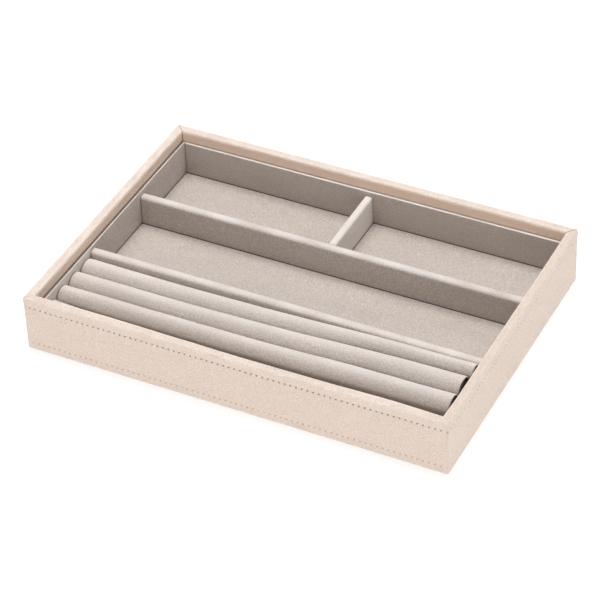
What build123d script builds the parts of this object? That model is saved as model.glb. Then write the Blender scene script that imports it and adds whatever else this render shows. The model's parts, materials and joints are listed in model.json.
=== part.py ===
from build123d import *
import os

# A shallow open jewelry tray in soft leather with a velvet lining, in millimetres.
# X runs along the front, Y towards the back and Z up. The origin is on the surface that the tray
# stands on, under its middle.

# The tray as a whole
tray_length = 250.0
tray_depth = 177.0
tray_height = 34.8

# The carcass boards, with their edges a little eased, and the leather drawn tight round them
leather_thickness = 1.0
wall_board_thickness = 3.4
base_board_thickness = 3.0
board_corner_radius = 0.5
board_rim_outer_radius = 0.4
board_rim_inner_radius = 0.8
foot_radius = 0.8
turn_in = 14.0

# The lining: velvet folded over the top edge of a card along each wall
velvet_thickness = 0.5
liner_card_thickness = 1.0
liner_top = 28.0

# The floor pads: velvet over a soft board, with a softened edge
pad_board_thickness = 2.4
pad_edge_radius = 0.5

# The dividers: velvet folded over boards of one thickness; the short one ends a little below the long one
divider_board_thickness = 3.6
long_divider_top = 25.6
short_divider_drop = 0.5
roll_divider_top = 26.4
middle_bay_depth = 51.9
short_divider_offset = 1.3

# How round the velvet's folds are, as shares of the covered thickness: the liners have a half-round
# top, and the thicker dividers a flat one with rounded edges
liner_fold_share = 0.45
divider_fold_share = 0.36

# The ring rolls: foam with a half-round back under velvet, pressed side by side in their bay.
# The lists run from the front roll, which sits lowest, to the back one.
roll_width = 13.0
roll_tops = [24.9, 26.3, 26.3, 26.6]
roll_end_radius = 2.0
roll_end_thickness = 1.2
roll_left_gap = 0.3
roll_right_gaps = [2.0, 2.2, 2.6, 1.1]

# The radii of the leather over the boards' eased edges
corner_radius = board_corner_radius + leather_thickness
rim_outer_radius = board_rim_outer_radius + leather_thickness
rim_inner_radius = board_rim_inner_radius + leather_thickness

# Thicknesses and levels that follow from the sizes above
wall_thickness = wall_board_thickness + 2 * leather_thickness
base_top = leather_thickness + base_board_thickness
floor_top = base_top + pad_board_thickness + velvet_thickness
liner_thickness = liner_card_thickness + 2 * velvet_thickness
divider_thickness = divider_board_thickness + 2 * velvet_thickness
short_divider_top = long_divider_top - short_divider_drop

# The space inside the leather, and the space inside the lining
cavity_length = tray_length - 2 * wall_thickness
cavity_depth = tray_depth - 2 * wall_thickness
inside_right = cavity_length / 2 - liner_thickness
inside_left = -inside_right
inside_back = cavity_depth / 2 - liner_thickness
inside_front = -inside_back

# The base board lies between the wall boards, and the lip of the leather stops on it
base_board_length = cavity_length + 2 * leather_thickness
base_board_depth = cavity_depth + 2 * leather_thickness

# The bays from the front to the back, and the short divider in the back one
roll_bay_back = inside_front + len(roll_tops) * roll_width
middle_bay_front = roll_bay_back + divider_thickness
middle_bay_back = middle_bay_front + middle_bay_depth
back_bay_front = middle_bay_back + divider_thickness
short_divider_left = short_divider_offset - divider_thickness / 2
short_divider_right = short_divider_offset + divider_thickness / 2

os.makedirs("parts", exist_ok=True)


def save(piece, name):
    """Label a finished piece and write it to its own file."""
    piece.part.label = name
    export_step(piece.part, f"parts/{name}.step")


def section_along_x(y):
    """The plane across a panel that runs along X, standing on the base board."""
    return Plane(origin=(0, y, base_top), x_dir=(0, 1, 0), z_dir=(1, 0, 0))


def section_along_y(x, y_middle=0):
    """The plane across a panel that runs along Y, standing on the base board."""
    return Plane(origin=(x, y_middle, base_top), x_dir=(1, 0, 0), z_dir=(0, -1, 0))


# The walls

def wall_ring(inset):
    """All four walls in one piece, drawn in by inset on every face, with the rim rounded over."""
    with BuildPart() as ring:
        with BuildSketch(Plane.XY.offset(inset)):
            RectangleRounded(tray_length - 2 * inset, tray_depth - 2 * inset, corner_radius - inset)
            Rectangle(cavity_length + 2 * inset, cavity_depth + 2 * inset, mode=Mode.SUBTRACT)
        extrude(amount=tray_height - 2 * inset)
        fillet(ring.faces().sort_by(Axis.Z)[-1].outer_wire().edges(), rim_outer_radius - inset)
        fillet(ring.faces().sort_by(Axis.Z)[-1].inner_wires()[0].edges(), rim_inner_radius - inset)
    return ring


board_ring = wall_ring(leather_thickness)


def wall_board(name, centre, length, depth):
    """One straight board, cut out of the ring that the four make."""
    with BuildPart() as board:
        add(board_ring.part)
        with BuildSketch():
            with Locations(centre):
                Rectangle(length, depth)
        extrude(amount=tray_height, mode=Mode.INTERSECT)
    save(board, name)


# The front and back boards run the whole length, and the side boards stand between them
board_y = (tray_depth - wall_thickness) / 2
board_x = (tray_length - wall_thickness) / 2
wall_board("front_wall_board", (0, -board_y), tray_length, wall_board_thickness)
wall_board("back_wall_board", (0, board_y), tray_length, wall_board_thickness)
wall_board("left_wall_board", (-board_x, 0), wall_board_thickness, base_board_depth)
wall_board("right_wall_board", (board_x, 0), wall_board_thickness, base_board_depth)

with BuildPart() as base_board:
    with BuildSketch(Plane.XY.offset(leather_thickness)):
        Rectangle(base_board_length, base_board_depth)
    extrude(amount=base_board_thickness)
save(base_board, "base_board")


# The leather

# The covering of all four walls: outside, over the rim, down the inside to the base board, and
# turned under the edge of the base
with BuildPart() as wrap:
    with BuildSketch():
        RectangleRounded(tray_length, tray_depth, corner_radius)
        Rectangle(tray_length - 2 * turn_in, tray_depth - 2 * turn_in, mode=Mode.SUBTRACT)
    extrude(amount=leather_thickness)
    add(wall_ring(0).part)
    fillet(wrap.faces().sort_by(Axis.Z)[0].outer_wire().edges(), foot_radius)
    add(board_ring.part, mode=Mode.SUBTRACT)
    add(base_board.part, mode=Mode.SUBTRACT)

# Each wall's share of the covering, as seen from above, ends in mitres at the tray's corners
half_length = tray_length / 2
half_depth = tray_depth / 2
ridge_end = half_length - half_depth
front_left_corner = (-half_length, -half_depth)
front_right_corner = (half_length, -half_depth)
back_right_corner = (half_length, half_depth)
back_left_corner = (-half_length, half_depth)
left_ridge = (-ridge_end, 0)
right_ridge = (ridge_end, 0)
mitred_outlines = {
    "front": [front_left_corner, front_right_corner, right_ridge, left_ridge],
    "right": [front_right_corner, back_right_corner, right_ridge],
    "back": [back_right_corner, back_left_corner, left_ridge, right_ridge],
    "left": [back_left_corner, front_left_corner, left_ridge],
}

for side, outline in mitred_outlines.items():
    with BuildPart() as cover:
        add(wrap.part)
        with BuildSketch():
            Polygon(*outline, align=None)
        extrude(amount=tray_height, mode=Mode.INTERSECT)
    save(cover, f"{side}_leather_cover")

# The sheet that closes the underside lies inside the turned-in leather, flush with it
with BuildPart() as base_cover:
    with BuildSketch():
        Rectangle(tray_length - 2 * turn_in, tray_depth - 2 * turn_in)
    extrude(amount=leather_thickness)
save(base_cover, "base_cover")


# The velvet panels: the lining of the walls, and the dividers

def standing_bar(section, length, width, height, top_radius):
    """A bar that stands on the base board, with its two long top edges rounded."""
    with BuildPart() as bar:
        with BuildSketch(section) as profile:
            Rectangle(width, height, align=(Align.CENTER, Align.MIN))
            fillet(profile.vertices().group_by(Axis.Y)[-1], top_radius)
        extrude(amount=length / 2, both=True)
    return bar


def velvet_panel(name, board_name, section, length, board_thickness, top, fold_share):
    """A board on edge, and the velvet folded over it from foot to foot."""
    covered_thickness = board_thickness + 2 * velvet_thickness
    fold_radius = fold_share * covered_thickness
    height = top - base_top
    board = standing_bar(section, length, board_thickness, height - velvet_thickness,
                         fold_radius - velvet_thickness)
    with BuildPart() as velvet:
        add(standing_bar(section, length, covered_thickness, height, fold_radius).part)
        add(board.part, mode=Mode.SUBTRACT)
    save(board, board_name)
    save(velvet, name)


# The side liners run the whole depth, and the front and back liners stand between them
liner_x = (cavity_length - liner_thickness) / 2
liner_y = (cavity_depth - liner_thickness) / 2
inside_length = inside_right - inside_left
liners = {
    "front": (section_along_x(-liner_y), inside_length),
    "back": (section_along_x(liner_y), inside_length),
    "left": (section_along_y(-liner_x), cavity_depth),
    "right": (section_along_y(liner_x), cavity_depth),
}
for side, (section, length) in liners.items():
    velvet_panel(f"{side}_liner_velvet", f"{side}_liner_card", section, length,
                 liner_card_thickness, liner_top, liner_fold_share)

roll_divider_y = roll_bay_back + divider_thickness / 2
velvet_panel("roll_divider_velvet", "roll_divider_board", section_along_x(roll_divider_y),
             inside_length, divider_board_thickness, roll_divider_top, divider_fold_share)

long_divider_y = middle_bay_back + divider_thickness / 2
velvet_panel("long_divider_velvet", "long_divider_board", section_along_x(long_divider_y),
             inside_length, divider_board_thickness, long_divider_top, divider_fold_share)

short_divider_y = (back_bay_front + inside_back) / 2
velvet_panel("short_divider_velvet", "short_divider_board",
             section_along_y(short_divider_offset, short_divider_y),
             inside_back - back_bay_front, divider_board_thickness, short_divider_top, divider_fold_share)


# The floors

def floor_pad(name, left, right, front, back):
    """A soft board that fills the foot of a bay, and the velvet over its top and sides."""
    middle = ((left + right) / 2, (front + back) / 2)
    with BuildPart() as board:
        with BuildSketch(Plane.XY.offset(base_top)):
            with Locations(middle):
                Rectangle(right - left - 2 * velvet_thickness, back - front - 2 * velvet_thickness)
        extrude(amount=pad_board_thickness)
    with BuildPart() as velvet:
        with BuildSketch(Plane.XY.offset(base_top)):
            with Locations(middle):
                Rectangle(right - left, back - front)
        extrude(amount=floor_top - base_top)
        fillet(velvet.faces().sort_by(Axis.Z)[-1].edges(), pad_edge_radius)
        add(board.part, mode=Mode.SUBTRACT)
    save(board, f"{name}_floor_board")
    save(velvet, f"{name}_floor_velvet")


floor_pad("back_left", inside_left, short_divider_left, back_bay_front, inside_back)
floor_pad("back_right", short_divider_right, inside_right, back_bay_front, inside_back)
floor_pad("middle", inside_left, inside_right, middle_bay_front, middle_bay_back)
floor_pad("roll_bay", inside_left, inside_right, inside_front, roll_bay_back)


# The ring rolls

def roll_bar(left, right, y, width, height):
    """A bar with straight sides and a half-round back, standing on the floor of its bay."""
    section = Plane(origin=((left + right) / 2, y, floor_top), x_dir=(0, 1, 0), z_dir=(1, 0, 0))
    with BuildPart() as bar:
        with BuildSketch(section):
            with BuildLine():
                front_side = Line((-width / 2, 0), (-width / 2, height - width / 2))
                crown = ThreePointArc(front_side @ 1, (0, height), (width / 2, height - width / 2))
                back_side = Line(crown @ 1, (width / 2, 0))
                Line(back_side @ 1, front_side @ 0)
            make_face()
        extrude(amount=(right - left) / 2, both=True)
    return bar


def ring_roll(name, left, right, y, top):
    """One roll: the square-cut foam, and the velvet drawn over it and folded in at both ends."""
    roll_height = top - floor_top
    foam = roll_bar(left + roll_end_thickness, right - roll_end_thickness, y,
                    roll_width - 2 * velvet_thickness, roll_height - velvet_thickness)
    with BuildPart() as sleeve:
        add(roll_bar(left, right, y, roll_width, roll_height).part)
        ends = sleeve.faces().sort_by(Axis.X)
        folds = [edge for end in (ends[0], ends[-1]) for edge in end.edges().sort_by(Axis.Z)[1:]]
        fillet(folds, roll_end_radius)
        add(foam.part, mode=Mode.SUBTRACT)
    save(foam, f"{name}_foam")
    save(sleeve, f"{name}_sleeve")


for number, (top, right_gap) in enumerate(zip(roll_tops, roll_right_gaps)):
    roll_y = inside_front + (number + 1 / 2) * roll_width
    ring_roll(f"ring_roll_{number + 1}", inside_left + roll_left_gap, inside_right - right_gap, roll_y, top)
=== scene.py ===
import json
from math import cos, exp, hypot, pi, radians, sin, sqrt
import bpy
from mathutils import Matrix, Vector, noise


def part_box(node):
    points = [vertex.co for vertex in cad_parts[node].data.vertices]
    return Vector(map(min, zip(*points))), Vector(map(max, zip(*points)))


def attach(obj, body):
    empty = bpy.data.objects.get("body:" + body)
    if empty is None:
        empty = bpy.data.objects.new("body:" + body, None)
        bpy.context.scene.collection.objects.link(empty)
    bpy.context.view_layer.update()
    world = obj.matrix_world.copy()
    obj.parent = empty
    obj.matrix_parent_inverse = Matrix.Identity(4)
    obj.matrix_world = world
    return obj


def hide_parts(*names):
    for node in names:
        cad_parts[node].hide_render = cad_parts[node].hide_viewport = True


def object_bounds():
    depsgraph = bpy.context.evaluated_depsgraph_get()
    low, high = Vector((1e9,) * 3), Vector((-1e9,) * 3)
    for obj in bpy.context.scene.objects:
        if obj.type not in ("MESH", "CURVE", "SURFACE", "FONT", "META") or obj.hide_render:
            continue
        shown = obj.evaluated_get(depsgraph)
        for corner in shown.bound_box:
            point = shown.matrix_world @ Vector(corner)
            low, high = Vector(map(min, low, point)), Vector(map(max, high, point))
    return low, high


# The leather jewelry tray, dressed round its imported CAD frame. The pieces are worked out in
# millimetres in the CAD's own axes, and turned into metres where their meshes are made.

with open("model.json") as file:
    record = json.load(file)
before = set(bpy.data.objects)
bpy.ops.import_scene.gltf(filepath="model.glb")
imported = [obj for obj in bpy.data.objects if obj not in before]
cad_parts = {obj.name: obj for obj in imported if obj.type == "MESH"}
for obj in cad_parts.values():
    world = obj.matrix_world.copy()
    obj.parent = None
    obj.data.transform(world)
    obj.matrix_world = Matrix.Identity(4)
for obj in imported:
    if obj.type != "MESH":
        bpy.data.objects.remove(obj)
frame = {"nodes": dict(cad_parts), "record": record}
cad_low, cad_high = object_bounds()

MM = 0.001


# Places read from the frame, in millimetres

def limits(node):
    """The lowest and highest corners of a CAD node."""
    low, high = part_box(node)
    return Vector(low) / MM, Vector(high) / MM


tray_low, tray_high = Vector(cad_low) / MM, Vector(cad_high) / MM
tray_length = tray_high.x - tray_low.x
tray_depth = tray_high.y - tray_low.y
rim_height = tray_high.z
base_top = limits("base_board")[1].z
base_cover_low = limits("base_cover")[0]
wall_thickness = tray_high.x - limits("right_liner_velvet")[1].x
lining_top = limits("left_liner_velvet")[1].z


# The sizes of what the scene adds

leather_thickness = 1.0
corner_radius = 1.3
inner_corner_radius = 0.25
rim_outer_radius = 1.6
rim_inner_radius = 1.6
rim_inner_drop = 0.3
rim_swell = 0.2
foot_radius = 0.7
# Wavelengths and sizes of the leather's unevenness, and of the patches of wear and painted highlight on its
# rim
leather_waves = ((28.0, 0.10), (7.0, 0.035))
wear_and_highlight_wave = (9.0, 0.5)
mean_wear_and_highlight = 0.55
# How much wear and painted highlight the rim has and how much painted highlight its inner bend has, how much
# painted warm bounce light the leather has inside it, and how much painted shade it has
# where it runs down behind the lining, on the front, right, back and left sides
rim_wear_and_highlights = (0.8, 0.3, 1.0, 1.25)
bend_highlights = (0.8, 0.8, 0.35, 0.8)
painted_bounce_warmths = (0.5, 0.5, 1.0, 0.5)
painted_bounce_turns = (0.5, 1.0)
inner_joint_shades = (0.5, 0.5, 0.15, 0.5)
# Drops below the top of the rim: where its swell is full, and where the mitre's crease and the wear and
# painted highlight begin and are full
full_swell_drop = 2.5
crease_drops = (2.4, 0.9)
wear_and_highlight_drops = (3.2, 0.3)
# How strong the mitre's crease is at the front left, front right, back right and back left corners,
# how deep it is and how high and far off its lips are
crease_strengths = (0.35, 0.1, 1.0, 0.7)
crease_depth = 0.38
crease_half_width = 0.2
crease_lip_height = 0.10
crease_lip_offset = 0.7
crease_lip_half_width = 0.4
crease_line_half_width = 0.16
crease_insets = (0.15, 0.9)
# How much narrower the rim is at distances along the front, right, back and left sides, from the lower
# of two heights on and in full above the higher one
rim_bow_heights = (27.0, 31.0)
rim_bows = (
    ((0.0, 0.0), (45.0, -0.4), (92.0, 0.2), (155.0, 0.8), (205.0, -0.35), (225.0, -0.7), (250.0, 0.0)),
    ((0.0, 0.0), (20.0, 0.5), (60.0, 0.35), (130.0, 0.35), (177.0, 0.0)),
    ((0.0, 0.0), (30.0, 0.25), (220.0, 0.25), (250.0, 0.0)),
    ((0.0, 0.0), (20.0, 0.3), (60.0, 0.25), (120.0, 0.1), (177.0, 0.0)),
)

# Rows across the leather: insets under the base, heights up the outside and down the inside
under_insets = (10.0, 6.5, 4.0, 2.2)
foot_heights = (1.5, 2.6, 3.5)
face_heights = (7.0, 9.5, 12.5, 15.5, 18.5, 21.5, 24.5, 27.0)
shoulder_heights = (30.8, 31.5, 32.3)
rim_flat_rows = ((2.4, 0.05), (3.1, 0.15))
inner_high_heights = (31.9, 30.6, 29.4)
inner_low_heights = (24.0, 16.0, 8.0)

# The seams: the heights of the two rows of stitches, and the rows of the mesh near each
stitch_rows = (4.8, 28.95)
seam_steps = (-0.9, -0.6, -0.35, -0.15, 0.0, 0.15, 0.35, 0.6, 0.9)
# How deep the holes of each row are, and how much painted shade they hold, on the front, right, back and
# left sides
stitch_row_shades = ((0.5, 0.15, 0.5, 0.5), (0.9, 0.5, 0.9, 0.9))
stitch_pitch = 3.25
first_stitch = 4.0
# The thread of one stitch: along its share of the way, how far it rises and its share of the full width
thread_places = ((0.0, -0.4, 0.4), (0.08, -0.16, 0.8), (0.22, -0.02, 0.95), (0.5, 0.0, 1.0),
                 (0.78, -0.02, 0.95), (0.92, -0.16, 0.8), (1.0, -0.4, 0.4))
thread_half_width = 0.24
thread_flatness = 0.6
thread_sides = 8
stitch_gap = 0.3
# How far a stitch slants over half its length, and the steps and wave in which that varies
mean_slant = 0.10
slant_step = 1.7
slant_wave = (1.3, 0.08)
hole_depth = 0.55
hole_radius = 0.6


# Small repeatable unevenness

def uneven(point, wavelength, size):
    """Smooth noise at a point, from minus size to plus size."""
    return size * noise.noise(Vector(point) / wavelength)


def wander(point, waves):
    """Smooth noise in several waves, each a wavelength and a size."""
    return sum(uneven(point, wavelength, size) for wavelength, size in waves)


def smooth_step(low, high, value):
    """From 0 at low to 1 at high, with level ends."""
    share = min(max((value - low) / (high - low), 0.0), 1.0)
    return share * share * (3 - 2 * share)


def curve_through(table, place):
    """A smooth curve through a table's rows, each a place and its value, held level past both ends."""
    place = min(max(place, table[0][0]), table[-1][0])
    index = max(i for i in range(len(table) - 1) if table[i][0] <= place)
    (x0, y0), (x1, y1) = table[index], table[index + 1]
    before, after = table[max(index - 1, 0)], table[min(index + 2, len(table) - 1)]
    slope0 = (y1 - before[1]) / (x1 - before[0])
    slope1 = (after[1] - y0) / (after[0] - x0)
    step = x1 - x0
    s = (place - x0) / step
    return (y0 * (1 + 2 * s) * (1 - s) ** 2 + slope0 * step * s * (1 - s) ** 2
            + y1 * s * s * (3 - 2 * s) - slope1 * step * s * s * (1 - s))


def arc(centre, radius, start, end, steps):
    """Points on an arc, with their outward directions, between two angles in degrees."""
    rows = []
    for step in range(steps + 1):
        angle = radians(start + (end - start) * step / steps)
        out = (cos(angle), sin(angle))
        rows.append((centre[0] + radius * out[0], centre[1] + radius * out[1], out[0], out[1]))
    return rows


# Meshes

def flat(rows):
    """The values of all rows in one list."""
    return [value for row in rows for value in row]


def make_piece(name, points, faces, material, replaced=(), uvs=None, marks=None):
    """A finished piece from points in millimetres, riding on the tray."""
    mesh = bpy.data.meshes.new(name)
    mesh.from_pydata([tuple(c * MM for c in point) for point in points], [], faces)
    if uvs:
        layer = mesh.uv_layers.new(name="UVMap")
        layer.data.foreach_set("uv", [c for face in uvs for uv in face for c in uv])
    for mark, values in (marks or {}).items():
        attribute = mesh.attributes.new(mark, "FLOAT", "POINT")
        attribute.data.foreach_set("value", values)
    mesh.validate()
    mesh.shade_smooth()
    piece = bpy.data.objects.new(name, mesh)
    bpy.context.scene.collection.objects.link(piece)
    mesh.materials.append(material)
    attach(piece, "root")
    if replaced:
        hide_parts(*replaced)
    return piece


def skin(sections, closed=False, first=0):
    """Faces and texture coordinates over a row of closed sections of equally many points.

    The row is a closed band, or else has a cap at both ends. The texture runs in centimetres along the
    sections' first points and across the first section.
    """
    count, width = len(sections), len(sections[0])
    along = [0.0]
    for index in range(count):
        here, there = Vector(sections[index][0]), Vector(sections[(index + 1) % count][0])
        along.append(along[-1] + (there - here).length / 10)
    across = [0.0]
    for index in range(width):
        here, there = Vector(sections[0][index]), Vector(sections[0][(index + 1) % width])
        across.append(across[-1] + (there - here).length / 10)
    faces, uvs = [], []
    for i in range(count if closed else count - 1):
        for j in range(width):
            next_i, next_j = (i + 1) % count, (j + 1) % width
            faces.append((first + i * width + j, first + next_i * width + j,
                          first + next_i * width + next_j, first + i * width + next_j))
            uvs.append(((along[i], across[j]), (along[i + 1], across[j]),
                        (along[i + 1], across[j + 1]), (along[i], across[j + 1])))
    if not closed:
        for index, order in ((0, 1), (count - 1, -1)):
            faces.append(tuple(first + index * width + j for j in range(width))[::order])
            uvs.append(tuple((along[index], across[j]) for j in range(width))[::order])
    return faces, uvs


def skinned_piece(name, sections, material, replaced=(), marks=None, closed=False):
    """A finished piece over a row of sections, with marks that hold one list of values for each section."""
    faces, uvs = skin(sections, closed)
    values = {mark: flat(rows) for mark, rows in (marks or {}).items()}
    return make_piece(name, flat(sections), faces, material, replaced, uvs, values)


# Materials

class Nodes:
    """A short way to write the nodes of a material or a world."""

    def __init__(self, owner):
        owner.use_nodes = True
        self.owner = owner
        self.tree = owner.node_tree
        self.tree.nodes.clear()

    def add(self, kind, inputs=None, **settings):
        """A new node. An input that is given a socket is linked to it, and any other is set."""
        node = self.tree.nodes.new(kind)
        for key, value in settings.items():
            setattr(node, key, value)
        for key, value in (inputs or {}).items():
            if isinstance(value, bpy.types.NodeSocket):
                self.tree.links.new(value, node.inputs[key])
            else:
                node.inputs[key].default_value = value
        return node

    def coordinates(self):
        """Places in the object, and places on its skin."""
        outputs = self.add("ShaderNodeTexCoord").outputs
        return outputs["Object"], outputs["UV"]

    def turned(self, vector, angle):
        return self.add("ShaderNodeMapping", {"Vector": vector, "Rotation": (0, 0, angle)}).outputs[0]

    def stretched(self, vector, scales):
        return self.add("ShaderNodeMapping", {"Vector": vector, "Scale": scales}).outputs[0]

    def mark(self, name):
        """The values that a mesh carries under a name."""
        return self.add("ShaderNodeAttribute", attribute_name=name).outputs["Fac"]

    def noise(self, vector, scale, detail=3.0, roughness=0.5):
        """Grey noise, about 0.5, with scale in features for each metre."""
        return self.add("ShaderNodeTexNoise", {"Vector": vector, "Scale": scale, "Detail": detail,
                                               "Roughness": roughness}).outputs["Fac"]

    def maths(self, operation, first, second):
        return self.add("ShaderNodeMath", {0: first, 1: second}, operation=operation).outputs[0]

    def spread(self, value, low, high, to_low=0.0, to_high=1.0):
        return self.add("ShaderNodeMapRange", {"Value": value, "From Min": low, "From Max": high,
                                               "To Min": to_low, "To Max": to_high}).outputs[0]

    def mix(self, share, first, second):
        """A colour between two colours."""
        return self.add("ShaderNodeMix", {0: share, 6: first, 7: second}, data_type="RGBA").outputs[2]

    def bump(self, height, distance, strength=1.0, normal=None):
        inputs = {"Height": height, "Distance": distance, "Strength": strength}
        if normal:
            inputs["Normal"] = normal
        return self.add("ShaderNodeBump", inputs).outputs["Normal"]

    def finish(self, colour, roughness, normal, **constants):
        """The shader and the output. The constants are set on the shader's own sockets."""
        shader = self.add("ShaderNodeBsdfPrincipled", {"Base Color": colour, "Roughness": roughness,
                                                       "Normal": normal})
        for key, value in constants.items():
            shader.inputs[key.replace("_", " ")].default_value = value
        self.add("ShaderNodeOutputMaterial", {"Surface": shader.outputs[0]})
        return self.owner


def new_material(name):
    return Nodes(bpy.data.materials.new(name))


def linear(red, green, blue):
    """A colour written in 0 to 255 as it shows on a screen, as the shader wants it."""
    def straight(value):
        share = value / 255
        return share / 12.92 if share <= 0.04045 else ((share + 0.055) / 1.055) ** 2.4
    return (straight(red), straight(green), straight(blue), 1.0)


def leather_material():
    """Fine-grained pale leather: pebbled cells crossed by shallow diagonal creases."""
    n = new_material("pale_leather")
    place, skin_place = n.coordinates()

    cells = n.add("ShaderNodeTexVoronoi", {"Vector": skin_place, "Scale": 10.0, "Randomness": 0.95},
                  feature="DISTANCE_TO_EDGE").outputs["Distance"]
    pebbles = n.spread(cells, 0.0, 0.22)
    bend = n.noise(skin_place, 2.2, 2.0)
    creases = []
    for slope in (0.82, -0.82):
        wave = n.add("ShaderNodeTexWave", {"Vector": n.turned(skin_place, slope), "Scale": 3.4,
                                           "Distortion": 3.2, "Detail": 2.0, "Detail Scale": 2.6})
        creases.append(wave.outputs["Fac"])
    crossed = n.maths("MULTIPLY", creases[0], creases[1])
    grain = n.maths("ADD", n.maths("MULTIPLY", pebbles, 0.65), n.maths("MULTIPLY", crossed, 0.6))
    normal = n.bump(bend, 0.0004, 0.15)
    normal = n.bump(grain, 0.0003, 0.9, normal)

    patches = n.noise(place, 38.0, 3.0)
    mottle = n.noise(place, 480.0, 2.0, 0.6)
    specks = n.noise(place, 1500.0, 3.0, 0.7)
    colour = n.mix(n.spread(patches, 0.35, 0.65), linear(248, 230, 218), linear(249, 231, 219))
    colour = n.mix(n.spread(mottle, 0.42, 0.62, 0.0, 0.3), colour, linear(232, 212, 197))
    colour = n.mix(n.maths("MULTIPLY", n.spread(specks, 0.42, 0.68), 0.9), colour, linear(209, 189, 173))
    hollows = n.spread(grain, 0.2, 0.75, 0.8, 0.0)
    colour = n.mix(hollows, colour, linear(226, 207, 191))
    # Painted warm bounce light inside, wear and painted highlight on the raised grain, painted shade in
    # folds, joints and holes
    colour = n.mix(n.mark("inner"), colour, linear(250, 223, 202))
    wear_and_highlight = n.mark("wear_and_highlight")
    raised = n.spread(specks, 0.4, 0.66, 0.92, 0.2)
    colour = n.mix(n.maths("MULTIPLY", wear_and_highlight, raised), colour, linear(252, 239, 230))
    colour = n.mix(n.spread(n.mark("painted_shade"), 0.0, 0.9, 0.0, 0.95), colour, linear(112, 86, 70))

    roughness = n.spread(n.maths("SUBTRACT", grain, n.maths("MULTIPLY", wear_and_highlight, 0.2)), 0.0, 1.2, 0.62, 0.42)
    return n.finish(colour, roughness, normal, Specular_IOR_Level=0.35, Sheen_Weight=0.05)


def velvet_material():
    """Short-pile velvet: a fine nap, brushed lighter and darker in soft patches, with painted highlight at
    its folds and crests and painted shade in its joints and creases.
    """
    n = new_material("velvet")
    place = n.coordinates()[0]
    nap = n.noise(place, 1950.0, 2.0, 0.7)
    tufts = n.noise(place, 650.0, 3.0, 0.6)
    brushed = n.noise(n.stretched(place, (18.0, 55.0, 40.0)), 1.0, 4.0, 0.6)
    base, lit, shaded, hidden = (linear(206 * share, 195 * share, 187 * share)
                                 for share in (1.0, 1.05, 0.89, 0.79))
    colour = n.mix(n.spread(brushed, 0.38, 0.64), base, lit)
    colour = n.mix(n.spread(tufts, 0.35, 0.7, 0.0, 0.35), colour, shaded)
    colour = n.mix(n.spread(nap, 0.38, 0.64, 0.0, 0.9), colour, hidden)
    # Painted highlight, partly wear, on tops, crests and brushed faces, and painted shade in joints, creases
    # and folded-in ends
    colour = n.mix(n.maths("MULTIPLY", n.mark("wear_and_highlight"), 0.85), colour, linear(237, 230, 225))
    colour = n.mix(n.mark("painted_shade"), colour, linear(84, 74, 67))
    pile = n.maths("ADD", n.maths("MULTIPLY", nap, 0.5), tufts)
    normal = n.bump(pile, 0.0004, 0.6)
    return n.finish(colour, n.spread(brushed, 0.3, 0.7, 0.95, 0.82), normal, Specular_IOR_Level=0.12,
                    Sheen_Weight=0.5, Sheen_Roughness=0.4, Sheen_Tint=(1.0, 0.98, 0.965, 1.0))


def base_cloth_material():
    """The short-pile cloth of the underside, close and dull."""
    n = new_material("base_cloth")
    place = n.coordinates()[0]
    pile = n.noise(place, 1500.0, 3.0, 0.7)
    patches = n.noise(place, 30.0, 2.0)
    colour = n.mix(n.spread(patches, 0.35, 0.65), linear(186, 174, 160), linear(196, 184, 171))
    colour = n.mix(n.spread(pile, 0.35, 0.7, 0.0, 0.5), colour, linear(160, 147, 133))
    return n.finish(colour, n.spread(pile, 0.3, 0.7, 0.95, 0.85), n.bump(pile, 0.0002, 0.6),
                    Specular_IOR_Level=0.15, Sheen_Weight=0.15)


def board_material():
    """Raw pressed board: short fibres and darker flecks."""
    n = new_material("pressed_board")
    place = n.coordinates()[0]
    fibres = n.noise(n.stretched(place, (1.0, 1.0, 6.0)), 420.0, 4.0, 0.65)
    flecks = n.noise(place, 1400.0, 2.0)
    colour = n.mix(n.spread(fibres, 0.35, 0.65), linear(176, 152, 120), linear(198, 176, 144))
    colour = n.mix(n.spread(flecks, 0.55, 0.75, 0.0, 0.6), colour, linear(128, 104, 78))
    return n.finish(colour, n.spread(fibres, 0.3, 0.7, 0.85, 0.75), n.bump(fibres, 0.0001, 0.5),
                    Specular_IOR_Level=0.3)


def foam_material():
    """Soft foam with fine open cells."""
    n = new_material("soft_foam")
    place = n.coordinates()[0]
    cells = n.add("ShaderNodeTexVoronoi", {"Vector": place, "Scale": 1500.0}).outputs["Distance"]
    patches = n.noise(place, 60.0, 2.0)
    colour = n.mix(n.spread(patches, 0.35, 0.65), linear(236, 234, 224), linear(246, 244, 236))
    colour = n.mix(n.spread(cells, 0.0, 0.5, 0.45, 0.0), colour, linear(206, 202, 190))
    return n.finish(colour, n.spread(cells, 0.0, 0.6, 0.95, 0.85), n.bump(cells, 0.0002, 0.6),
                    Specular_IOR_Level=0.2)


leather = leather_material()
velvet = velvet_material()
base_cloth = base_cloth_material()
board = board_material()
foam = foam_material()


# The leather: one covering round the tray

half_length, half_depth = tray_length / 2, tray_depth / 2
# Each side: where it starts, the direction that it runs in, the direction inward, and its length
sides = [
    (Vector((-half_length, -half_depth)), Vector((1, 0)), Vector((0, 1)), tray_length),
    (Vector((half_length, -half_depth)), Vector((0, 1)), Vector((-1, 0)), tray_depth),
    (Vector((half_length, half_depth)), Vector((-1, 0)), Vector((0, -1)), tray_length),
    (Vector((-half_length, half_depth)), Vector((0, -1)), Vector((1, 0)), tray_depth),
]
# How far along a side its rounded corners reach, and where the sections near a corner lie
corner_zone = 4.0
corner_stations = (0.12, 0.35, 0.7, 1.1, 1.5, 1.9, 2.4, 3.0)
# Between these two heights the leather runs into the joint behind the lining, and painted shade comes in
# from the higher to the lower
joint_heights = (lining_top + 0.6, lining_top + 0.1)


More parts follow.
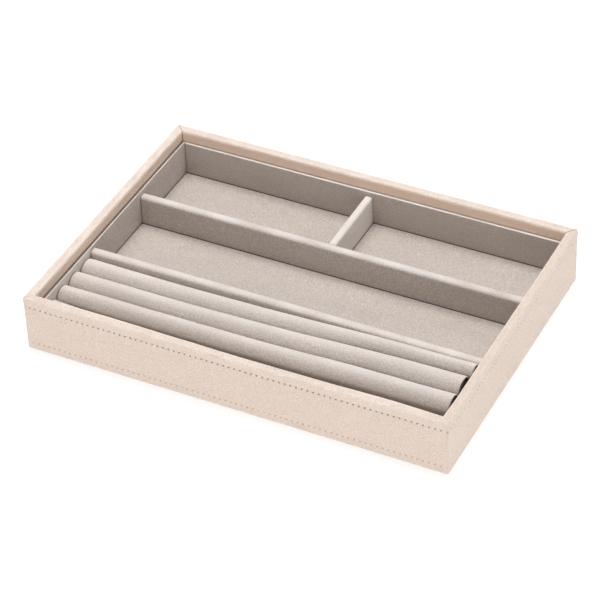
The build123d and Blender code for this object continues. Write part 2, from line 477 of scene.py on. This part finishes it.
def on_side(side, distance, inset):
    """The point of a side at a distance along it, on the outline drawn in by inset.

    The distances 0 and the side's length are the middles of its two rounded corners.
    """
    start, run, inward, length = side
    radius = max(corner_radius - inset, inner_corner_radius)
    shrunk = length - 2 * inset
    from_start = distance * shrunk / length
    from_end = shrunk - from_start
    half_arc = radius * pi / 4
    if from_start < corner_zone or from_end < corner_zone:
        near_end = from_end < from_start
        reach = from_end if near_end else from_start
        corner = start + inward * inset + run * (shrunk + inset if near_end else inset)
        away = -run if near_end else run
        curved = reach / corner_zone * (half_arc + corner_zone - radius)
        if curved > half_arc:
            return corner + away * (radius + curved - half_arc)
        angle = pi / 4 - curved / radius
        centre = corner + (away + inward) * radius
        return centre - inward * radius * cos(angle) - away * radius * sin(angle)
    return start + inward * inset + run * (inset + from_start)


def leather_rows():
    """The rows across the leather, each an inset, a height and an outward direction in those two."""
    turn_in = base_cover_low.x - tray_low.x
    rows = [(inset, 0.0, 0.0, -1.0) for inset in (turn_in, *under_insets)]
    rows += arc((foot_radius, foot_radius), foot_radius, 270, 180, 4)
    low_seam, high_seam = ([stitch_row + step for step in seam_steps] for stitch_row in stitch_rows)
    outer_heights = (*foot_heights, *low_seam, *face_heights, *high_seam, *shoulder_heights)
    rows += [(0.0, height, -1.0, 0.0) for height in outer_heights]
    rows += arc((rim_outer_radius, rim_height - rim_outer_radius), rim_outer_radius, 180, 90, 8)
    rows += [(inset, rim_height - drop, 0.0, 1.0) for inset, drop in rim_flat_rows]
    inner_centre = (wall_thickness - rim_inner_radius, rim_height - rim_inner_drop - rim_inner_radius)
    rows += arc(inner_centre, rim_inner_radius, 90, 0, 6)
    inner_heights = (*inner_high_heights, *joint_heights, *inner_low_heights, base_top)
    rows += [(wall_thickness, height, 1.0, 0.0) for height in inner_heights]
    return rows


def rim_narrowing(number, distance, inset, height):
    """How far the rim's inner part lies nearer to the outside than its plain place."""
    inner_part = smooth_step(rim_outer_radius, wall_thickness, inset) * smooth_step(*rim_bow_heights, height)
    return curve_through(rim_bows[number], distance) * inner_part


def leather_stations(length):
    """Distances along a side for the sections, and the distances of its stitch holes."""
    stations = [0.0, *corner_stations]
    straight = length - 2 * first_stitch
    count = round(straight / stitch_pitch)
    pitch = straight / count
    holes = [first_stitch + index * pitch for index in range(count + 1)]
    for hole in holes[:-1]:
        stations += [hole, hole + hole_radius / 2, hole + hole_radius, hole + pitch / 2,
                     hole + pitch - hole_radius, hole + pitch - hole_radius / 2]
    stations.append(holes[-1])
    stations += [length - distance for distance in reversed(corner_stations)]
    return stations, [0.0] + holes + [length]


def stitch_hole(number, distance, height, holes):
    """How deep the leather dips at the nearest stitch hole, and how much shade is painted there."""
    dip, painted_shade = 0.0, 0.0
    nearest = min(abs(distance - hole) for hole in holes)
    for stitch_row, shades in zip(stitch_rows, stitch_row_shades):
        off = hypot(nearest, height - stitch_row) / hole_radius
        if off < 1:
            dip += hole_depth * shades[number] * (1 - off * off)
            painted_shade = max(painted_shade, shades[number] * (1 - off ** 3))
    return dip, painted_shade


def mitre_crease(strength, from_corner):
    """How far the leather dips or swells near a mitre, and how much shade is painted along the mitre's line.
    """
    dip = crease_depth * strength * exp(-(from_corner / crease_half_width) ** 2)
    off_lip = (from_corner - crease_lip_offset) / crease_lip_half_width
    dip -= crease_lip_height * strength * exp(-off_lip ** 2)
    return dip, strength * exp(-(from_corner / crease_line_half_width) ** 2)


def below_rim(drops, height):
    """From 0 at the first drop below the top of the rim to 1 at the second."""
    return smooth_step(rim_height - drops[0], rim_height - drops[1], height)


def leather_finish(number, distance, length, holes, row, place):
    """How far the leather stands proud of the CAD's surface at a row, its painted shade, and its wear and
    painted highlight.
    """
    inset, height, out_inset, out_height = row
    if out_height < -0.5:
        return 0.0, 0.0, 0.0
    inside = out_inset > 0.5 and height < rim_height - rim_inner_radius + 0.1
    proud = wander(place, leather_waves)
    painted_shade = 0.0
    # Painted shade in the stitch holes
    if out_inset < -0.5:
        dip, painted_shade = stitch_hole(number, distance, height, holes)
        proud -= dip
    # The padding under the leather, from the top seam over the rim
    if out_inset < 0 or out_height > 0.5:
        proud += rim_swell * smooth_step(stitch_rows[1], rim_height - full_swell_drop, height)
    # Painted shade where the leather runs down into the joint behind the lining
    if inside:
        painted_shade = inner_joint_shades[number] * (1.0 - smooth_step(joint_heights[1], joint_heights[0], height))
    # The mitre's crease, with painted shade along its line
    corner = number if distance < length / 2 else (number + 1) % 4
    over_rim = smooth_step(*crease_insets, inset) * below_rim(crease_drops, height)
    strength = crease_strengths[corner] * (1.0 if inside else over_rim)
    dip, line = mitre_crease(strength, min(distance, length - distance))
    # Wear and painted highlight over the rim, and painted highlight along its inner bend
    edge = 0.0 if inside else below_rim(wear_and_highlight_drops, height)
    wear_and_highlight = edge * (mean_wear_and_highlight + uneven(place, *wear_and_highlight_wave)) * rim_wear_and_highlights[number]
    if out_inset > 0.2 and out_height > 0.2:
        wear_and_highlight += bend_highlights[number]
    return proud - dip, max(painted_shade, line), min(max(wear_and_highlight, 0.0), 1.0)


def leather_section(number, side, distance, holes, rows, back_rows):
    """One section of the covering, out and back by its thickness, with the marks of its points."""
    section, painted_shade_marks, wear_and_highlight_marks, painted_bounce_marks = [], [], [], []
    for row in rows:
        inset, height, out_inset, out_height = row
        inset -= rim_narrowing(number, distance, inset, height)
        spot = on_side(side, distance, inset)
        proud, painted_shade, wear_and_highlight = leather_finish(number, distance, side[3], holes, row, (spot.x, spot.y, height))
        moved = on_side(side, distance, inset + proud * out_inset)
        section.append((moved.x, moved.y, height + proud * out_height))
        painted_shade_marks.append(painted_shade)
        wear_and_highlight_marks.append(wear_and_highlight)
        # Painted warm bounce light on the inner face
        painted_bounce_marks.append(painted_bounce_warmths[number] * smooth_step(*painted_bounce_turns, out_inset))
    for inset, height, out_inset, out_height in reversed(back_rows):
        spot = on_side(side, distance, inset - leather_thickness * out_inset)
        section.append((spot.x, spot.y, height - leather_thickness * out_height))
    hidden = [0.0] * len(back_rows)
    return section, {"painted_shade": painted_shade_marks + hidden, "wear_and_highlight": wear_and_highlight_marks + hidden, "inner": painted_bounce_marks + hidden}


def build_leather():
    """The covering as a closed band with the leather's thickness, and the places of its stitches."""
    rows = leather_rows()
    back_rows = [row for index, row in enumerate(rows) if index % 3 == 0 or index == len(rows) - 1]
    sections, stitches = [], []
    marks = {"painted_shade": [], "wear_and_highlight": [], "inner": []}
    for number, side in enumerate(sides):
        stations, holes = leather_stations(side[3])
        stitches += [(side, start, end) for start, end in zip(holes[:-1], holes[1:])]
        for distance in stations:
            section, section_marks = leather_section(number, side, distance, holes, rows, back_rows)
            sections.append(section)
            for mark, values in section_marks.items():
                marks[mark].append(values)
    covers = ("front_leather_cover", "back_leather_cover", "left_leather_cover", "right_leather_cover")
    skinned_piece("leather_covering", sections, leather, covers, marks, closed=True)
    return stitches


def build_stitches(name, stitches, height):
    """One row of thread: each stitch comes out of one hole, lies on the leather and goes into the next."""
    points, faces, uvs = [], [], []
    for number, (side, start, end) in enumerate(stitches):
        slant = mean_slant + uneven((number * slant_step, height, 0.0), *slant_wave)
        sections = []
        for share, rise, width_share in thread_places:
            distance = start + stitch_gap + (end - start - 2 * stitch_gap) * share
            spot = on_side(side, distance, 0.0)
            deeper = on_side(side, distance, 0.5)
            out = Vector((spot.x - deeper.x, spot.y - deeper.y, 0.0)).normalized()
            centre = Vector((spot.x, spot.y, height + slant * (share - 0.5) * 2)) + out * rise
            section = []
            for step in range(thread_sides):
                angle = 2 * pi * step / thread_sides
                up = thread_half_width * width_share * cos(angle)
                forward = thread_flatness * thread_half_width * width_share * sin(angle)
                section.append(tuple(centre + Vector((0, 0, up)) + out * forward))
            sections.append(section)
        more_faces, more_uvs = skin(sections, first=len(points))
        points += flat(sections)
        faces += more_faces
        uvs += more_uvs
    make_piece(name, points, faces, thread, uvs=uvs)


def thread_material():
    """Waxed thread in the leather's colour, with its twist."""
    n = new_material("waxed_thread")
    skin_place = n.coordinates()[1]
    twist = n.add("ShaderNodeTexWave", {"Vector": n.turned(skin_place, 0.6), "Scale": 9.0,
                                        "Distortion": 0.6}).outputs["Fac"]
    tone = n.noise(skin_place, 4.0, 2.0)
    colour = n.mix(n.spread(tone, 0.35, 0.65), linear(246, 228, 216), linear(252, 238, 229))
    colour = n.mix(n.spread(twist, 0.0, 0.6, 0.3, 0.0), colour, linear(222, 198, 182))
    return n.finish(colour, n.spread(twist, 0.0, 1.0, 0.7, 0.5), n.bump(twist, 0.00008, 0.7),
                    Specular_IOR_Level=0.3)


thread = thread_material()
stitches = build_leather()
build_stitches("lower_stitches", stitches, stitch_rows[0])
build_stitches("upper_stitches", stitches, stitch_rows[1])


# The velvet panels: the lining of the walls, and the dividers

# How far a panel's upright edges are drawn in, and the places near an edge where its sections lie
end_radius = 0.7
end_stations = (0.0, 0.06, 0.18, 0.45)
end_zone = 0.9
panel_step = 2.5
panel_gap = 0.05
flank_shares = (0, 1 / 7, 3 / 7, 4 / 7, 5 / 7, 6 / 7)
# How much shade is painted on the pile where a panel's end or a pad's edge is pressed into a joint
joint_painted_shade = 0.8
# Over this length the painted sheen on the brushed part of a panel's face fades out
face_sheen_fade = 2.0
roll_bay_back = limits("roll_divider_velvet")[0].y
floor_top = limits("middle_floor_velvet")[1].z
foot_rows = (floor_top - 0.3, floor_top + 0.15, floor_top + 0.6)
foot_shadow = (floor_top + 0.1, floor_top + 0.6)

# The lining of each wall: the axis that it runs along, which way is outward across it, its gap to the
# leather, how much painted highlight its top has, and how much painted sheen its brushed right face has
# beside the rolls
linings = {
    "front": (0, -1, 0.55, 0.1, 0.0),
    "back": (0, 1, 0.55, 0.75, 0.0),
    "left": (1, -1, 0.8, 0.1, 0.56),
    "right": (1, 1, 0.55, 0.1, 0.0),
}
lining_fold_share = 0.45
lining_waves = ((22.0, 0.06), (6.0, 0.03))
# Each divider: the axis that it runs along, the folds over its front and back or left and right edges,
# how much painted highlight its top has, and how much painted sheen its brushed right face has
dividers = {
    "long": (0, (2.2, 1.0), 0.5, 0.0),
    "short": (1, (1.3, 1.4), 0.7, 0.8),
    "roll": (0, (2.2, 1.0), 0.5, 0.0),
}
divider_waves = ((22.0, 0.10), (6.0, 0.03))
# From which upward turn a panel's top has painted highlight, and up to which it fades in, and the
# wavelength and size of its patches
top_turns = (0.1, 0.8)
top_wave = (12.0, 0.4)


def panel_profile(width, bottom, top, fold_radii):
    """Up the low side, over the two folds and down the high side, with outward directions."""
    low_radius, high_radius = fold_radii
    flanks = (top - low_radius - bottom, top - high_radius - bottom)
    low_heights, high_heights = (sorted([bottom + flank * share for share in flank_shares] + list(foot_rows))
                                 for flank in flanks)
    profile = [(-width / 2, height, -1.0, 0.0) for height in low_heights]
    profile += arc((low_radius - width / 2, top - low_radius), low_radius, 180, 90, 6)
    profile += arc((width / 2 - high_radius, top - high_radius), high_radius, 90, 0, 6)
    return profile + [(width / 2, height, 1.0, 0.0) for height in reversed(high_heights)]


def panel_stations(length):
    """Distances along a panel for its sections, close together at its ends."""
    count = max(int(length / panel_step), 8)
    inner = [end_zone + (length - 2 * end_zone) * index / count for index in range(count + 1)]
    return [*end_stations, *inner, *(length - distance for distance in reversed(end_stations))]


def standing_panel(name, low, high, along, fold_radii, node, waves, top_highlight, face_sheen, face_sheen_end=None):
    """A covered board on edge, with rounded top and soft upright edges, between two corners.

    The fold radii are those of its low and its high side. The nap has painted highlight along the top and
    painted sheen on the brushed high side, each by the amount given for it, the sheen as far along as the
    given end. The ends and foot have painted shade.
    """
    across = 1 - along
    length = high[along] - low[along]
    middle = (high[across] + low[across]) / 2
    profile = panel_profile(high[across] - low[across], low[2], high[2], fold_radii)
    # Along Y the profile runs the other way round, so that its faces still look outward
    if along == 1:
        profile = profile[::-1]
    sections, wear_and_highlight, painted_shade = [], [], []
    for distance in panel_stations(length):
        from_end = min(distance, length - distance)
        to_edge = max(end_radius - from_end, 0.0)
        drawn_in = end_radius - sqrt(end_radius ** 2 - to_edge ** 2)
        at_end = 1.0 - smooth_step(0.0, end_radius, from_end)
        section, highlight_row, shade_row = [], [], []
        for offset, height, out_across, out_up in profile:
            spot = [0.0, 0.0, height]
            spot[along] = low[along] + distance
            spot[across] = middle + offset
            proud = wander(spot, waves) - drawn_in
            spot[across] += proud * out_across
            spot[2] += proud * max(out_up, 0.0)
            section.append(tuple(spot))
            # Painted highlight along the top, and painted sheen on the brushed high side
            pale = smooth_step(*top_turns, out_up) * (top_highlight + uneven(spot, *top_wave))
            brushed = face_sheen * max(out_across, 0.0)
            if face_sheen_end is not None:
                brushed *= 1.0 - smooth_step(face_sheen_end - face_sheen_fade, face_sheen_end, spot[along])
            highlight_row.append(max(pale, brushed))
            # Painted shade at the upright ends and along the foot
            at_foot = 1.0 - smooth_step(*foot_shadow, height)
            shade_row.append(joint_painted_shade * max(at_end, at_foot))
        sections.append(section)
        wear_and_highlight.append(highlight_row)
        painted_shade.append(shade_row)
    skinned_piece(name, sections, velvet, (node,), {"wear_and_highlight": wear_and_highlight, "painted_shade": painted_shade})


def panel_limits(node, along):
    """A node's corners, a little short of the panels that it runs between."""
    low, high = limits(node)
    low[along] += panel_gap
    high[along] -= panel_gap
    return low, high


def build_lining():
    """The four wall panels, each standing a little off the leather so that a dark line shows."""
    for side, (along, outward, gap, top_highlight, face_sheen) in linings.items():
        node = f"{side}_liner_velvet"
        low, high = panel_limits(node, along)
        across = 1 - along
        if outward < 0:
            low[across] += gap
        else:
            high[across] -= gap
        fold_radius = lining_fold_share * (high[across] - low[across])
        standing_panel(f"{side}_lining", low, high, along, (fold_radius, fold_radius), node, lining_waves,
                       top_highlight, face_sheen, roll_bay_back)


def build_dividers():
    """The three dividers, each from one lining to the next."""
    for name, (along, fold_radii, top_highlight, face_sheen) in dividers.items():
        node = f"{name}_divider_velvet"
        low, high = panel_limits(node, along)
        standing_panel(f"{name}_divider", low, high, along, fold_radii, node, divider_waves, top_highlight, face_sheen)


build_lining()
build_dividers()


# The floor pads

pad_corner_steps = 4
pad_side_steps = (60, 16)


def rounded_outline(low, high, inset, radius):
    """The points of a rounded rectangle, drawn in by inset, from the right end of its front edge on."""
    left, right = low[0] + inset, high[0] - inset
    front, back = low[1] + inset, high[1] - inset
    corners = [((right - radius, front + radius), -90), ((right - radius, back - radius), 0),
               ((left + radius, back - radius), 90), ((left + radius, front + radius), 180)]
    points = []
    for index, (centre, start) in enumerate(corners):
        points += [(x, y) for x, y, _, _ in arc(centre, radius, start, start + 90, pad_corner_steps)]
        (next_x, next_y), next_start = corners[(index + 1) % 4]
        end = (next_x + radius * cos(radians(next_start)), next_y + radius * sin(radians(next_start)))
        begin = points[-1]
        steps = pad_side_steps[(index + 1) % 2]
        for step in range(1, steps):
            points.append(tuple(here + (there - here) * step / steps for here, there in zip(begin, end)))
    return points


# A pad's edge and corners, its low crown, and how far in from its edge the crown and its wave begin
pad_edge_radius = 0.4
pad_crown = 0.15
pad_gap = 0.2
pad_wave = (24.0, 0.10)
pad_insets = (2.2, 4.0, 7.0, 11.0, 16.0, 21.0)
pad_corner_radius = 0.9
pad_corner_tightening = 0.3
pad_least_corner_radius = 0.25
pad_crown_insets = (0.6, 14.0)
pad_wave_inset = 0.8


def pad_rings(low, high):
    """The rings of a pad from its foot to the middle of its top, each an inset and a height."""
    rings = [(pad_gap, low.z), (pad_gap, high.z - pad_edge_radius)]
    for _, _, out, up in arc((0.0, 0.0), 1.0, 0, 90, 5)[1:]:
        rings.append((pad_gap + pad_edge_radius * (1 - out), high.z - pad_edge_radius * (1 - up)))
    half_depth = (high.y - low.y) / 2
    return rings + [(inset, high.z) for inset in pad_insets if inset < half_depth - 1]


def build_pad(bay):
    """A soft board covered in velvet: a low crowned top, edges drawn down and soft corners."""
    node = f"{bay}_floor_velvet"
    low, high = limits(node)
    sections, painted_shade = [], []
    for inset, height in reversed(pad_rings(low, high)):
        radius = max(pad_corner_radius - inset * pad_corner_tightening, pad_least_corner_radius)
        crown = pad_crown * smooth_step(*pad_crown_insets, inset)
        section = []
        for x, y in rounded_outline(low, high, inset, radius):
            lift = crown + uneven((x, y, 0.0), *pad_wave) if inset > pad_wave_inset else 0.0
            section.append((x, y, height + lift))
        sections.append(section)
        # Painted shade along the pad's edge, where it is pressed into the joint
        at_edge = 1.0 - smooth_step(0.0, pad_edge_radius, inset - pad_gap)
        painted_shade.append([joint_painted_shade * at_edge] * len(section))
    piece = skinned_piece(f"{bay}_floor_pad", sections, velvet, (node,), {"painted_shade": painted_shade})


for bay in ("back_left", "back_right", "middle", "roll_bay"):
    build_pad(bay)


# The ring rolls

roll_left_radius = 1.5
roll_right_radius = 0.5
roll_end_zone = 2.2
roll_end_lip = 0.7
roll_lip_depth = 0.1
roll_end_recess = 1.0
roll_step = 2.5
foam_step = 4.0
foam_inset = 0.8
roll_seam = 0.12
# How the cloth of a sleeve is pressed from inside and cut too large, how long it settles, how far it may
# rise or fall, how far from the sleeve's ends that counts, and how free a point is that looks up
sleeve_pressure = 4.0
sleeve_shrink = -0.03
settle_frames = 20
settle_cap = 0.5
settle_ends = (1.5, 8.0)
free_power = 0.7
free_share = 0.8
# How high the round back of each roll is and how much painted highlight its pile has, from front to back
roll_crowns = (6.4, 6.4, 6.2, 5.2)
roll_highlights = (0.5, 1.0, 1.0, 1.0)
roll_waves = ((30.0, 0.14), (9.0, 0.04))
roll_highlight_wave = (14.0, 0.3)
mean_roll_highlight = 0.8
# Where the light catches a roll's pile, up and towards the back: that direction across and up, and two
# ranges of how far the pile looks that way, each with its share of the painted highlight
pile_direction = (0.6, 0.8)
pale_ranges = ((0.2, 1.1, 0.72), (0.93, 1.0, 0.28))
# How much shade is painted on the pile low down between two rolls, and the range over which that fades
crease_painted_shade = 0.55
crease_range = (-0.6, -0.25)
# How the soft rolls lie in the bay, in the order of the rolls: places along the tray, and how far
# each one's back boundary has moved towards the back, and its top upwards, at those places
boundary_moves = (
    ((-115.0, 0.0), (-60.0, 0.4), (80.0, 0.6), (115.0, 0.5)),
    ((-115.0, -0.4), (-43.0, -0.1), (20.0, 0.3), (57.0, 1.3), (90.0, 1.3), (115.0, 1.6)),
    ((-115.0, -0.25), (-43.0, -0.2), (20.0, 0.85), (57.0, 2.05), (90.0, 3.0), (115.0, 3.2)),
    ((-115.0, 0.0), (115.0, 0.0)),
)
top_lifts = (
    ((-115.0, -0.3), (-85.0, -2.4), (80.0, -2.4), (115.0, -2.2)),
    ((-115.0, -0.8), (-43.0, -1.0), (20.0, -0.4), (57.0, 0.35), (90.0, 0.75), (115.0, 1.0)),
    ((-115.0, -0.9), (-43.0, -0.95), (20.0, 0.1), (57.0, 1.0), (90.0, 1.45), (115.0, 1.6)),
    ((-115.0, -1.8), (-43.0, -2.0), (20.0, -0.45), (57.0, 0.95), (90.0, 1.25), (115.0, 1.65)),
)


def roll_profile(half_width, bottom, top, crown):
    """The two straight sides and the round back, from the back foot over the top to the front foot."""
    shoulder = top - crown
    rows = [(half_width, bottom + (shoulder - bottom) * step / 4, 1.0, 0.0) for step in range(4)]
    for _, _, out_y, out_z in arc((0.0, 0.0), 1.0, 0, 180, 18):
        rows.append((half_width * out_y, shoulder + crown * out_z, out_y, out_z))
    rows += [(-half_width, shoulder - (shoulder - bottom) * step / 4, -1.0, 0.0) for step in range(1, 5)]
    rows += [(-half_width + half_width * step / 2, bottom, 0.0, -1.0) for step in range(1, 4)]
    return rows


def roll_section(number, x, low, high, drawn_in):
    """One section of a roll, drawn in on all its sides but the foot, and its painted highlight and painted
    shade.
    """
    front = low.y + roll_seam
    if number > 1:
        front += curve_through(boundary_moves[number - 2], x)
    back = high.y + curve_through(boundary_moves[number - 1], x) - roll_seam
    top = high.z + curve_through(top_lifts[number - 1], x)
    middle = (front + back) / 2
    section, highlight_row, crease_shade_row = [], [], []
    for y, z, out_y, out_z in roll_profile((back - front) / 2, low.z, top, roll_crowns[number - 1]):
        spot = (x, middle + y, z)
        proud = wander(spot, roll_waves) - drawn_in if out_z >= 0 else 0.0
        section.append((x, middle + y + proud * out_y, z + proud * out_z))
        # Painted highlight where the pile faces up and back, painted shade low in the crease between rolls
        raised = pile_direction[0] * out_y + pile_direction[1] * out_z
        pale = sum(share * smooth_step(start, end, raised) for start, end, share in pale_ranges)
        highlight_row.append(pale * (mean_roll_highlight + uneven(spot, *roll_highlight_wave)) * roll_highlights[number - 1])
        crease_shade_row.append(crease_painted_shade * (1.0 - smooth_step(*crease_range, raised)))
    return section, highlight_row, crease_shade_row


def settle_sleeve(sleeve):
    """Let the sleeve's velvet settle as cloth over its springy foam, and keep what shows of that on top.

    The velvet is cut a little too large, and pressed from inside. A copy is simulated. Each point that
    looks up takes its share of the rise or fall beyond the mean of the top, up to settle_cap.
    """
    scene = bpy.context.scene
    copy = bpy.data.objects.new(f"{sleeve.name}_cloth", sleeve.data.copy())
    scene.collection.objects.link(copy)
    cloth = copy.modifiers.new("cloth", "CLOTH")
    cloth.settings.quality = 6
    cloth.settings.mass = 0.2
    cloth.settings.use_pressure = True
    cloth.settings.uniform_pressure_force = sleeve_pressure
    cloth.settings.shrink_min = sleeve_shrink
    cloth.settings.effector_weights.gravity = 0.0
    cloth.point_cache.frame_start, cloth.point_cache.frame_end = 1, settle_frames
    for frame_number in range(1, settle_frames + 1):
        scene.frame_set(frame_number)
    settled = copy.evaluated_get(bpy.context.evaluated_depsgraph_get())
    moves = [(there.co - here.co) / MM
             for here, there in zip(sleeve.data.vertices, settled.to_mesh().vertices)]
    settled.to_mesh_clear()
    bpy.data.objects.remove(copy)
    scene.frame_set(1)
    free = [max(vertex.normal.z, 0.0) ** free_power for vertex in sleeve.data.vertices]
    lifts = [move.z for move, share in zip(moves, free) if share > free_share]
    middle = sum(lifts) / len(lifts)
    low_x = min(vertex.co.x for vertex in sleeve.data.vertices) / MM
    high_x = max(vertex.co.x for vertex in sleeve.data.vertices) / MM
    for vertex, move, share in zip(sleeve.data.vertices, moves, free):
        x = vertex.co.x / MM
        held = smooth_step(*settle_ends, min(x - low_x, high_x - x))
        lift = min(max(move.z - middle, -settle_cap), settle_cap)
        vertex.co.z += lift * share * held * MM


def roll_stations(left, right):
    """Places along a sleeve, each with how far it is drawn in there, from one folded end to the other."""
    rows = [(left + roll_end_recess, roll_end_lip), (left + roll_lip_depth, roll_end_lip)]
    for _, _, out, level in arc((0.0, 0.0), 1.0, 0, 90, 6)[::-1]:
        rows.append((left + roll_left_radius * (1 - level), roll_left_radius * (1 - out)))
    first, last = left + roll_end_zone, right - roll_end_zone
    count = int((last - first) / roll_step)
    rows += [(first + (last - first) * index / count, 0.0) for index in range(count + 1)]
    for _, _, out, level in arc((0.0, 0.0), 1.0, 0, 90, 5):
        rows.append((right - roll_right_radius * (1 - level), roll_right_radius * (1 - out)))
    return rows + [(right - roll_lip_depth, roll_end_lip), (right - roll_end_recess, roll_end_lip)]


def build_roll(number):
    """The velvet sleeve, drawn over its foam, with its ends folded in against the foam."""
    node = f"ring_roll_{number}_sleeve"
    low, high = limits(node)
    rows = roll_stations(low.x, high.x)
    sections, wear_and_highlight, painted_shade = [], [], []
    for index, (x, drawn_in) in enumerate(rows):
        section, highlight_row, crease_shade_row = roll_section(number, x, low, high, drawn_in)
        folded_in = index < 2 or index > len(rows) - 3
        sections.append(section)
        wear_and_highlight.append(highlight_row)
        # The folded-in ends are painted in full shade
        painted_shade.append([1.0] * len(section) if folded_in else crease_shade_row)
    piece = skinned_piece(f"ring_roll_{number}", sections, velvet, (node,),
                          {"wear_and_highlight": wear_and_highlight, "painted_shade": painted_shade})
    settle_sleeve(piece)


def build_roll_foam(number):
    """The square-cut foam inside a sleeve, pressed to the sleeve's shape."""
    node = f"ring_roll_{number}_foam"
    low, high = limits(f"ring_roll_{number}_sleeve")
    foam_low, foam_high = limits(node)
    length = foam_high.x - foam_low.x
    count = int(length / foam_step)
    sections = [roll_section(number, foam_low.x + length * index / count, low, high, foam_inset)[0]
                for index in range(count + 1)]
    piece = skinned_piece(f"ring_roll_foam_{number}", sections, foam, (node,))


for number in range(1, 5):
    build_roll(number)
    build_roll_foam(number)


# What stays of the CAD: the boards and cards inside, and the sheet under the base

def dress_nodes():
    """Every CAD node gets the material of its slot."""
    finishes = {"board": board, "foam": foam, "base_cloth": base_cloth, "leather": leather, "velvet": velvet}
    for row in frame["record"]["subparts"]:
        node = frame["nodes"][row["node"]]
        node.data.materials.clear()
        node.data.materials.append(finishes[row["material_slot"]])


dress_nodes()


# The floor, the light and the camera

floor_reach = 6.0
# How light the floor is, matt and glowing, to the tray and to the camera
plain_matt, plain_glow = 0.3, 1.2
shown_matt, shown_glow = 0.45, 0.61


def pale_surface(n, matt, glow):
    """A matt grey surface that also glows white."""
    matt_shader = n.add("ShaderNodeBsdfDiffuse", {"Color": (matt, matt, matt, 1.0)})
    glow_shader = n.add("ShaderNodeEmission", {"Color": (1, 1, 1, 1), "Strength": glow})
    both = n.add("ShaderNodeAddShader", {0: matt_shader.outputs[0], 1: glow_shader.outputs[0]})
    return both.outputs[0]


def build_floor():
    """A white floor that keeps the tray's shadow, and shows pure white round it."""
    mesh = bpy.data.meshes.new("floor")
    corners = [(-1, -1, 0), (1, -1, 0), (1, 1, 0), (-1, 1, 0)]
    mesh.from_pydata([Vector(corner) * floor_reach for corner in corners], [], [(0, 1, 2, 3)])
    floor = bpy.data.objects.new("floor", mesh)
    bpy.context.scene.collection.objects.link(floor)
    n = new_material("white_floor")
    path = n.add("ShaderNodeLightPath").outputs
    mirrored = n.maths("MAXIMUM", path["Is Glossy Ray"], path["Is Transmission Ray"])
    seen = n.maths("MAXIMUM", path["Is Camera Ray"], mirrored)
    both = n.add("ShaderNodeMixShader", {0: seen, 1: pale_surface(n, plain_matt, plain_glow),
                                         2: pale_surface(n, shown_matt, shown_glow)})
    n.add("ShaderNodeOutputMaterial", {"Surface": both.outputs[0]})
    mesh.materials.append(n.owner)


def build_world(strength):
    """Even pale light from all round, with plain pale grey beyond the floor."""
    n = Nodes(bpy.data.worlds.new("studio"))
    bpy.context.scene.world = n.owner
    light = n.add("ShaderNodeBackground", {"Color": (1.0, 0.99, 0.98, 1.0), "Strength": strength})
    shown = n.add("ShaderNodeBackground", {"Strength": 1.0})
    seen = n.add("ShaderNodeLightPath").outputs["Is Camera Ray"]
    mix = n.add("ShaderNodeMixShader", {0: seen, 1: light.outputs[0], 2: shown.outputs[0]})
    n.add("ShaderNodeOutputWorld", {"Surface": mix.outputs[0]})


def add_light(name, place, size, watts):
    """A soft rectangular light that looks from its place at the tray."""
    lamp = bpy.data.lights.new(name, "AREA")
    lamp.shape = "RECTANGLE"
    lamp.size, lamp.size_y = size
    lamp.energy = watts
    light = bpy.data.objects.new(name, lamp)
    light.location = place
    light.rotation_euler = (-Vector(place)).to_track_quat("-Z", "Y").to_euler()
    bpy.context.scene.collection.objects.link(light)


# Where the photograph was taken from, and its focal length and width in pixels
camera_azimuth, camera_elevation, camera_roll = 27.82, 38.86, -2.42
camera_target = Vector((-0.56, -4.51, 12.0)) * MM
camera_distance = 1.4363
focal_pixels = 2623.2
photo_pixels = 600


def build_camera():
    """The camera at the photograph's angle, a little rolled."""
    azimuth, elevation, roll = (radians(angle) for angle in (camera_azimuth, camera_elevation, camera_roll))
    back = Vector((sin(azimuth) * cos(elevation), -cos(azimuth) * cos(elevation), sin(elevation)))
    level = Vector((cos(azimuth), sin(azimuth), 0.0))
    up = back.cross(level)
    across = level * cos(roll) + up * sin(roll)
    upward = up * cos(roll) - level * sin(roll)
    data = bpy.data.cameras.new("camera")
    data.sensor_width = 36.0
    data.lens = data.sensor_width * focal_pixels / photo_pixels
    data.clip_start, data.clip_end = 0.05, 50.0
    camera = bpy.data.objects.new("camera", data)
    turn = Matrix((across, upward, back)).transposed().to_4x4()
    camera.matrix_world = Matrix.Translation(camera_target + back * camera_distance) @ turn
    bpy.context.scene.collection.objects.link(camera)
    bpy.context.scene.camera = camera


build_floor()
build_world(strength=0.40)
add_light("overhead", place=(-0.05, 0.12, 1.3), size=(1.0, 0.8), watts=16.2)
add_light("front_fill", place=(0.95, -1.35, 0.22), size=(1.8, 0.4), watts=3.3)
build_camera()
bpy.context.scene.view_settings.view_transform = "Standard"
